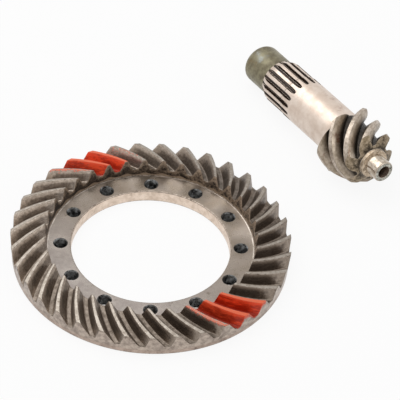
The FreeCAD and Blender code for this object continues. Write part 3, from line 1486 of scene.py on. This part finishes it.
    def ringed(self, colour: Node) -> Node:
        """Adds the broken bright ring that a tool's corner left on a face.

        Args:
            colour: the colour so far.

        Returns:
            The colour with the ring.
        """
        flat = self.add("VectorMath", self.place, (1.0, 1.0, 0.0), operation="MULTIPLY")
        radius = self.add("VectorMath", flat, operation="LENGTH")
        middle = self.finish.bright_ring_mm * MILLIMETRE
        half = self.finish.ring_half_mm * MILLIMETRE
        ring = self.window(radius, middle - half, middle + half, half)
        return self.laid_over(colour, self.BARE_EDGE, ring, self.fade(self.clouds(9.0), 0.35, 0.60))

    def with_painted_highlight(self, colour: Node, painted_highlight: PaintedHighlight) -> Node:
        """Adds a painted highlight: a pale patch on the wax.

        Args:
            colour: the colour so far.
            painted_highlight: the patch.

        Returns:
            The colour with the patch.
        """
        middle = Vector(painted_highlight.middle_mm) * MILLIMETRE
        reach = painted_highlight.reach_mm * MILLIMETRE
        away = self.add("VectorMath", self.place, middle, operation="DISTANCE")
        patch = self.fade(self.pushed(away, self.mottle, 3 * reach), 2.4 * reach, 1.4 * reach)
        return self.laid_over(colour, painted_highlight.colour, patch, 0.6)

    def aged_colour(self) -> Node:
        """Colour of the steel with its stains, oil smudges, rubbing and dirt, and its painted shade and
        highlight.

        Returns:
            The colour, each layer over the one before.
        """
        finish = self.finish
        colour = self.laid_over(linear(finish.dark), finish.light, self.fade(self.mottle, 0.32, 0.68))
        stains = self.clouds(2.6 * finish.mottle_mm, 8.0, 0.72)
        edge = 0.66 - 0.22 * finish.stain_share
        colour = self.laid_over(colour, finish.stain, self.fade(stains, edge, edge + self.STAIN_SOFTNESS))
        # Painted shade laid over one side of the gear
        if finish.side_shade:
            colour = self.side_shaded(colour)
        if finish.rubbed:
            colour = self.rubbed(colour)
        if finish.smudge:
            marks = self.clouds(0.8 * finish.mottle_mm, 3.0, 0.8)
            colour = self.laid_over(colour, self.OIL_SOOT, self.fade(marks, 0.60, 0.70), finish.smudge)
        # A paler band towards the tooth ends
        if finish.paler_tips:
            colour = self.banded(colour, finish.light, finish.paler_tips)
        # Dirt and painted shade in the corner at a wall's foot
        if finish.corner_dirt_and_shade:
            colour = self.banded(colour, self.CORNER_DIRT_AND_SHADE, finish.corner_dirt_and_shade)
        # Painted shade towards the tooth root
        if finish.root_shade:
            low = self.fade(self.flank_height, 0.48, 0.0)
            colour = self.laid_over(colour, self.ROOT_SHADE, low, finish.root_shade)
        if finish.bright_ring_mm:
            colour = self.ringed(colour)
        # Painted highlight on the wax
        return self.with_painted_highlight(colour, finish.painted_highlight) if finish.painted_highlight else colour

    def relief(self) -> Node:
        """Height of the grain and of the tool's lines.

        Returns:
            The height in metres.
        """
        finish = self.finish
        height = self.product(self.clouds(0.7, 3.0), finish.grain_depth_mm * MILLIMETRE)
        if finish.lines is ToolLines.NONE:
            return height
        wave = self.add("TexWave", {
            "Vector": self.place, "Scale": math.pi / 10 / (finish.line_mm * MILLIMETRE),
            "Distortion": 0.6, "Detail": 2.0, "Detail Scale": 0.3,
        }, **finish.lines.value)
        return self.pushed(height, wave.outputs["Fac"], finish.line_depth_mm * MILLIMETRE)

    def paint_cover(self, brush: Node) -> object:
        """Mask of the marking paint, with its brushed edges and the spots where it is worn off.

        Args:
            brush: the cloudy pattern of the brush.

        Returns:
            The mask.
        """
        half = self.layout.teeth / 2
        wrapped = self.add("Math", self.around, half, operation="ADD")
        wrapped = self.add("Math", wrapped, self.layout.teeth, operation="MODULO")
        wrapped = self.add("Math", wrapped, half, operation="SUBTRACT")
        shift = self.add("Math", brush, 0.5, operation="SUBTRACT")
        cover = 0.0
        for patch in self.layout.paint:
            spread = self.pushed(wrapped, shift, patch.ragged * 2)
            reach = self.pushed(self.along, shift, patch.ragged * 4)
            mask = self.product(self.window(spread, patch.start, patch.end, 0.02),
                                self.window(reach, patch.toe_edge, patch.heel_edge, 0.03),
                                patch.cover * self.finish.paint.cover)
            cover = self.add("Math", cover, mask, operation="MAXIMUM")
        worn = self.pushed(1.0, self.fade(brush, 0.60, 0.72), -0.6)
        return self.product(cover, worn)

    def painted(self, steel: Node, normal: Node) -> Node:
        """Lays the marking paint over the steel, darker towards a flank's foot as painted shade.

        Args:
            steel: the steel's shader.
            normal: the steel's bumped normal.

        Returns:
            The shader with paint.
        """
        paint = self.finish.paint
        # Painted shade: the paint darkens towards the flank's foot
        shade_mask = self.pushed(self.streaks(9.0, 2.0), self.flank_height, -0.22)
        colour = self.laid_over(linear(paint.light), paint.dark, self.fade(shade_mask, 0.26, 0.48))
        coat = self.add("BsdfPrincipled", {
            "Base Color": colour, "Roughness": 0.45, "Specular IOR Level": 0.25, "Normal": normal,
        })
        return self.add("MixShader", self.paint_cover(self.clouds(3.2, 6.0, 0.72)), steel, coat)

    def build(self) -> Material:
        """Makes the material.

        Returns:
            The material, painted if its finish says so.
        """
        finish = self.finish
        rough, smooth = finish.roughness + self.ROUGHNESS_SPREAD, finish.roughness - self.ROUGHNESS_SPREAD
        normal = self.add("Bump", {"Height": self.relief(), "Distance": 1.0})
        surface = self.add("BsdfPrincipled", {
            "Base Color": self.aged_colour(), "Metallic": finish.metallic,
            "Roughness": self.add("MapRange", self.mottle, 0.3, 0.7, rough, smooth), "Normal": normal,
        })
        if finish.paint:
            surface = self.painted(surface, normal)
        self.add("OutputMaterial", {"Surface": surface})
        return self.material


# Each surface carries its own copy of the red paint: pale on the lands and edges as painted light, darker on
# flanks and floors as painted shade
RING_FINISHES = {
    # Pale turned steel: the bright strips that draw every tooth
    RingGear.LAND: SteelFinish(
        "turned tooth land steel", "aaa298", "8f857a", "6a5f54", stain_share=0.3, mottle_mm=4.0,
        lines=ToolLines.FACED, line_mm=0.9, line_depth_mm=0.004,
        paint=MarkingPaint("f47450", "dc4422", 0.97)),
    # Grey-brown lapped steel, rubbed dark by the pinion's teeth, streaked along the tooth, with painted
    # shade over the ring's right side
    RingGear.FLANK: SteelFinish(
        "lapped tooth flank steel", "c4b6a8", "9a8c7f", "6b5d51", stain_share=0.3, mottle_mm=3.0,
        smudge=0.15, roughness=0.40, metallic=0.8, grain_depth_mm=0.008, side_shade="5a4c40",
        side_shade_heading_deg=-20.0, side_shade_share=0.6, rubbed="281b12",
        rubbed_share=0.70, paint=MarkingPaint("fa5028", "ae280c", 0.97)),
    # Milled steel at the bottom of each space, bright where it catches the light
    RingGear.FLOOR: SteelFinish(
        "milled tooth root steel", "82776d", "5f554b", "453b32", stain_share=0.3, mottle_mm=5.0,
        smudge=0.1, paint=MarkingPaint("f05a34", "a82c10", 0.9)),
    # Scaly brown steel: the dark band round the flange, with painted shade over the ring's left side, dirt
    # and painted shade at its foot, and paler towards the tooth ends
    RingGear.TOE: SteelFinish(
        "scaled toe wall steel", "b09a84", "524336", "281d14", stain_share=0.7, mottle_mm=2.6,
        smudge=0.5, roughness=0.5, metallic=0.5, side_shade="251a12", side_shade_heading_deg=190.0,
        side_shade_share=1.0, lines=ToolLines.TURNED, line_mm=1.2, line_depth_mm=0.010,
        grain_depth_mm=0.010, corner_dirt_and_shade=(-0.50, -1.0, 0.9), paler_tips=(-0.50, 0.05, 0.65)),
    # Smooth turned steel with a warm sheen
    RingGear.RIM: SteelFinish(
        "turned rim steel", "bca99c", "98867a", "74635a", stain_share=0.4, mottle_mm=9.0,
        roughness=0.36, lines=ToolLines.TURNED, line_mm=0.8, line_depth_mm=0.004),
    # Turned steel a little paler than the rim below it
    RingGear.HEEL: SteelFinish(
        "turned heel face steel", "c2b3a5", "92847a", "6b5d51", stain_share=0.45, mottle_mm=6.0,
        roughness=0.36, lines=ToolLines.TURNED, line_mm=0.8, line_depth_mm=0.004,
        paint=MarkingPaint("e0583a", "982a14", 0.85)),
    # Ground steel, darker towards the far side as painted shade, with a bright ring where it meets the toe
    # wall
    RingGear.FLANGE: SteelFinish(
        "ground flange steel", "b3aaa2", "a09690", "857b72", stain_share=0.35, mottle_mm=6.0,
        smudge=0.06, roughness=0.30, side_shade="786b5c", side_shade_heading_deg=62.0, side_shade_share=0.9,
        lines=ToolLines.FACED, line_mm=0.7, line_depth_mm=0.003, bright_ring_mm=114.0),
    # Clean warm steel that mirrors the pale ground
    RingGear.BORE: SteelFinish(
        "turned bore steel", "efdccb", "d2beac", "b5a18f", stain_share=0.3, mottle_mm=6.0,
        roughness=0.34, lines=ToolLines.TURNED, line_mm=0.6, line_depth_mm=0.003),
    # Clean ground steel on the hidden seat
    RingGear.BACK: SteelFinish(
        "ground back face steel", "c4b9ae", "a79b90", "8a7e72", mottle_mm=8.0,
        roughness=0.34, lines=ToolLines.FACED, line_mm=0.6, line_depth_mm=0.003),
    # Oily thread, painted near-black as the shade inside the holes, with cold grey patches as painted glints
    RingGear.THREAD: SteelFinish(
        "tapped hole steel", "8b8c8c", "35332f", "110d0b", stain_share=0.7, mottle_mm=4.0,
        roughness=0.36, metallic=0.8),
    # Bare steel on the broken edges: the fine light lines
    RingGear.EDGE: SteelFinish(
        "deburred edge steel", "a99d92", "61564b", "3c3128", stain_share=0.6, mottle_mm=2.5,
        roughness=0.36, paint=MarkingPaint("f8714d", "cc3a1a", 0.92)),
}

PINION_FINISHES = {
    # Pale turned steel along the tooth tops
    DrivePinion.LAND: SteelFinish(
        "pinion tooth land steel", "cabdaf", "a09283", "74685a", stain_share=0.35, mottle_mm=3.4,
        lines=ToolLines.TURNED, line_mm=0.8, line_depth_mm=0.004),
    # Brown-grey lapped steel with reddish bruises, with painted shade darkening it towards the root
    DrivePinion.FLANK: SteelFinish(
        "pinion lapped flank steel", "beb09f", "938573", "80604f", stain_share=0.45, mottle_mm=6.0,
        smudge=0.1, roughness=0.40, metallic=0.8, rubbed="4d4036", rubbed_share=0.5, root_shade=0.92),
    # Steel at the bottom of the spaces, painted nearly black as the shade there
    DrivePinion.FLOOR: SteelFinish(
        "pinion tooth root steel", "3f372f", "1e1812", "0f0b08", stain_share=0.5, mottle_mm=3.0,
        roughness=0.45, metallic=0.5),
    # Turned steel, darker round the collar with painted shade in the corner
    DrivePinion.TOE_FACE: SteelFinish(
        "pinion toe face steel", "a79680", "75664f", "4c3f30", stain_share=0.45, mottle_mm=4.0,
        smudge=0.25, roughness=0.42, metallic=0.75, lines=ToolLines.FACED, line_mm=0.8,
        line_depth_mm=0.006, corner_dirt_and_shade=(-0.06, -0.19, 0.9)),
    # Olive-brown turned steel behind the teeth
    DrivePinion.HEEL_BACK: SteelFinish(
        "pinion heel back steel", "9b907a", "655a48", "393124", stain_share=0.5, mottle_mm=4.0,
        roughness=0.43, metallic=0.75, lines=ToolLines.FACED, line_mm=0.9, line_depth_mm=0.005),
    # Ground steel: the brightest surface, with one long soft highlight
    DrivePinion.JOURNAL: SteelFinish(
        "ground journal steel", "dfd0c3", "cfbdae", "b0978a", stain_share=0.35, mottle_mm=12.0,
        roughness=0.36, metallic=0.92, lines=ToolLines.TURNED, line_mm=0.5, line_depth_mm=0.0015,
        grain_depth_mm=0.001),
    # Milled steel, near-black with old oil and with painted shade in the grooves
    DrivePinion.GROOVE: SteelFinish(
        "milled spline groove steel", "3c2514", "0b0402", "030100", stain_share=0.5, mottle_mm=3.0,
        roughness=0.45, metallic=0.35),
    # Steel under greenish preserving wax, with a painted highlight on the tail
    DrivePinion.TAIL: SteelFinish(
        "waxed tail steel", "8d866b", "665d46", "7a6a4b", stain_share=0.3, mottle_mm=9.0,
        roughness=0.40, metallic=0.4, grain_depth_mm=0.010,
        painted_highlight=PaintedHighlight((-20.7, -10.8, -164.0), 11.0, "bcc4c1")),
    # Turned steel, warm and clean
    DrivePinion.COLLAR: SteelFinish(
        "turned collar steel", "d5c3ac", "a08d76", "5c4b39", stain_share=0.4, mottle_mm=3.0,
        lines=ToolLines.TURNED, line_mm=0.6, line_depth_mm=0.003),
    # Ground steel that mirrors its surround
    DrivePinion.PILOT: SteelFinish(
        "ground pilot steel", "d6cabb", "a89a89", "7a6b56", mottle_mm=5.0, roughness=0.19,
        metallic=0.94, lines=ToolLines.TURNED, line_mm=0.4, line_depth_mm=0.001, grain_depth_mm=0.001),
    # Greenish grey turned steel round the centre hole
    DrivePinion.END_FACE: SteelFinish(
        "turned nose face steel", "cfcdc2", "747168", "3a362d", stain_share=0.6, mottle_mm=3.0),
    # Dark brown oily steel inside the turning centre
    DrivePinion.CENTRE: SteelFinish(
        "centre drilling steel", "5a4636", "2a1e16", "0e0906", stain_share=0.4, mottle_mm=3.0,
        roughness=0.42, metallic=0.5),
    # Bare steel on the broken edges
    DrivePinion.EDGE: SteelFinish(
        "pinion deburred edge steel", "b8ac9f", "85796c", "4f4235", stain_share=0.6, mottle_mm=2.5,
        roughness=0.34),
}


@dataclass(frozen=True)
class Lamp:
    """A soft square lamp: its place and size in metres and its power."""

    name: str
    place: tuple[float, float, float]
    size: float
    watts: float


@dataclass
class Studio:
    """The pale floor, the soft light and the camera."""

    unit_mm: float = 100.0
    focus_height: float = 0.15
    centre_u: float = 150.8
    centre_v: float = 245.7
    pixels_per_unit: float = 90.29
    nearness: float = 0.03
    elevation_deg: float = 43.1
    roll_deg: float = 3.9
    image_size: float = 400.0
    sensor_mm: float = 36.0
    floor_size: float = 30.0
    floor_gap: float = 0.0002
    floor_whiteness: float = 0.90
    surround_strength: float = 0.45
    aim: tuple[float, float, float] = (0.06, 0.08, 0.0)
    lamps: tuple[Lamp, ...] = (
        Lamp("key light", (-1.4, 1.0, 3.2), 3.6, 62.0),
        Lamp("fill light", (2.6, -2.0, 2.8), 2.4, 16.0),
    )

    def add_camera(self) -> None:
        """Places the camera at the photograph's viewing angle."""
        elevation = math.radians(self.elevation_deg)
        roll = math.radians(self.roll_deg)
        right = Vector((1, 0, 0))
        up = Vector((0, math.sin(elevation), math.cos(elevation)))
        back = Vector((0, -math.cos(elevation), math.sin(elevation)))
        turned_right = right * math.cos(roll) + up * math.sin(roll)
        turned_up = up * math.cos(roll) - right * math.sin(roll)
        half = self.image_size / 2
        place = (
            back / self.nearness
            - turned_right * (self.centre_u - half) / self.pixels_per_unit
            + turned_up * (self.centre_v - half) / self.pixels_per_unit
            + Vector((0, 0, self.focus_height))
        )
        data = bpy.data.cameras.new("camera")
        data.sensor_fit = "HORIZONTAL"
        data.sensor_width = self.sensor_mm
        focal_pixels = self.pixels_per_unit / self.nearness
        data.lens = focal_pixels * self.sensor_mm / self.image_size
        camera = bpy.data.objects.new("camera", data)
        bpy.context.scene.collection.objects.link(camera)
        axes = Matrix((turned_right, turned_up, back)).transposed().to_4x4()
        camera.matrix_world = Matrix.Translation(place * self.unit_mm * MILLIMETRE) @ axes
        bpy.context.scene.camera = camera

    def add_floor(self) -> None:
        """Adds the plain pale floor."""
        bpy.ops.object.select_all(action="DESELECT")
        bpy.ops.mesh.primitive_plane_add(size=self.floor_size, location=(0, 0, -self.floor_gap))
        floor = bpy.context.object
        floor.name = "floor"
        material = bpy.data.materials.new("matt white floor")
        material.use_nodes = True
        tree = material.node_tree
        tree.nodes.clear()
        share = add_node(tree, "Math", seen_directly(tree), self.floor_whiteness, operation="MULTIPLY")
        matt = add_node(tree, "BsdfDiffuse", linear("fbfbfb"))
        white = add_node(tree, "Emission", (1, 1, 1, 1), 1.0)
        add_node(tree, "OutputMaterial", add_node(tree, "MixShader", share, matt, white))
        floor.data.materials.append(material)

    def add_light(self, lamp: Lamp) -> None:
        """Adds a soft square lamp that points at the set.

        Args:
            lamp: the lamp's place, size and power.
        """
        data = bpy.data.lights.new(lamp.name, "AREA")
        data.shape = "SQUARE"
        data.size = lamp.size
        data.energy = lamp.watts
        light = bpy.data.objects.new(lamp.name, data)
        bpy.context.scene.collection.objects.link(light)
        light.location = lamp.place
        aim = Vector(self.aim) - Vector(lamp.place)
        light.rotation_euler = aim.to_track_quat("-Z", "Y").to_euler()

    def add_world(self) -> None:
        """Gives an even pale surround, white where the camera or a reflection sees it."""
        world = bpy.data.worlds.new("studio")
        world.use_nodes = True
        bpy.context.scene.world = world
        tree = world.node_tree
        tree.nodes.clear()
        strength = add_node(tree, "MapRange", seen_directly(tree), 0.0, 1.0, self.surround_strength, 1.0)
        add_node(tree, "OutputWorld", add_node(tree, "Background", (1, 1, 1, 1), strength))

    def build(self) -> None:
        """Builds the whole studio."""
        self.add_camera()
        self.add_floor()
        for lamp in self.lamps:
            self.add_light(lamp)
        self.add_world()
        bpy.context.scene.view_settings.view_transform = "Standard"


def main() -> None:
    """Builds the set piece by piece."""
    logging.basicConfig(level=logging.INFO, format="%(message)s")
    ring = RingGear()
    pinion = DrivePinion()
    ring_layout = GearLayout(ring.teeth, RING_MAP, Matrix.Identity(4), RING_PAINT)
    pinion_layout = GearLayout(pinion.teeth, PINION_MAP, pinion.axis_frame())
    gears = ((ring, ring_layout, RING_FINISHES), (pinion, pinion_layout, PINION_FINISHES))
    for design, layout, finishes in gears:
        materials = [SteelSurface(finishes[zone], layout).build() for zone in range(design.EDGE + 1)]
        piece = design.build(materials)
        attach(piece, "root")
        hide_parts(design.node)
        LOG.info("%s: %d faces", piece.name, len(piece.data.polygons))
    Studio().build()


if __name__ == "__main__":
    main()
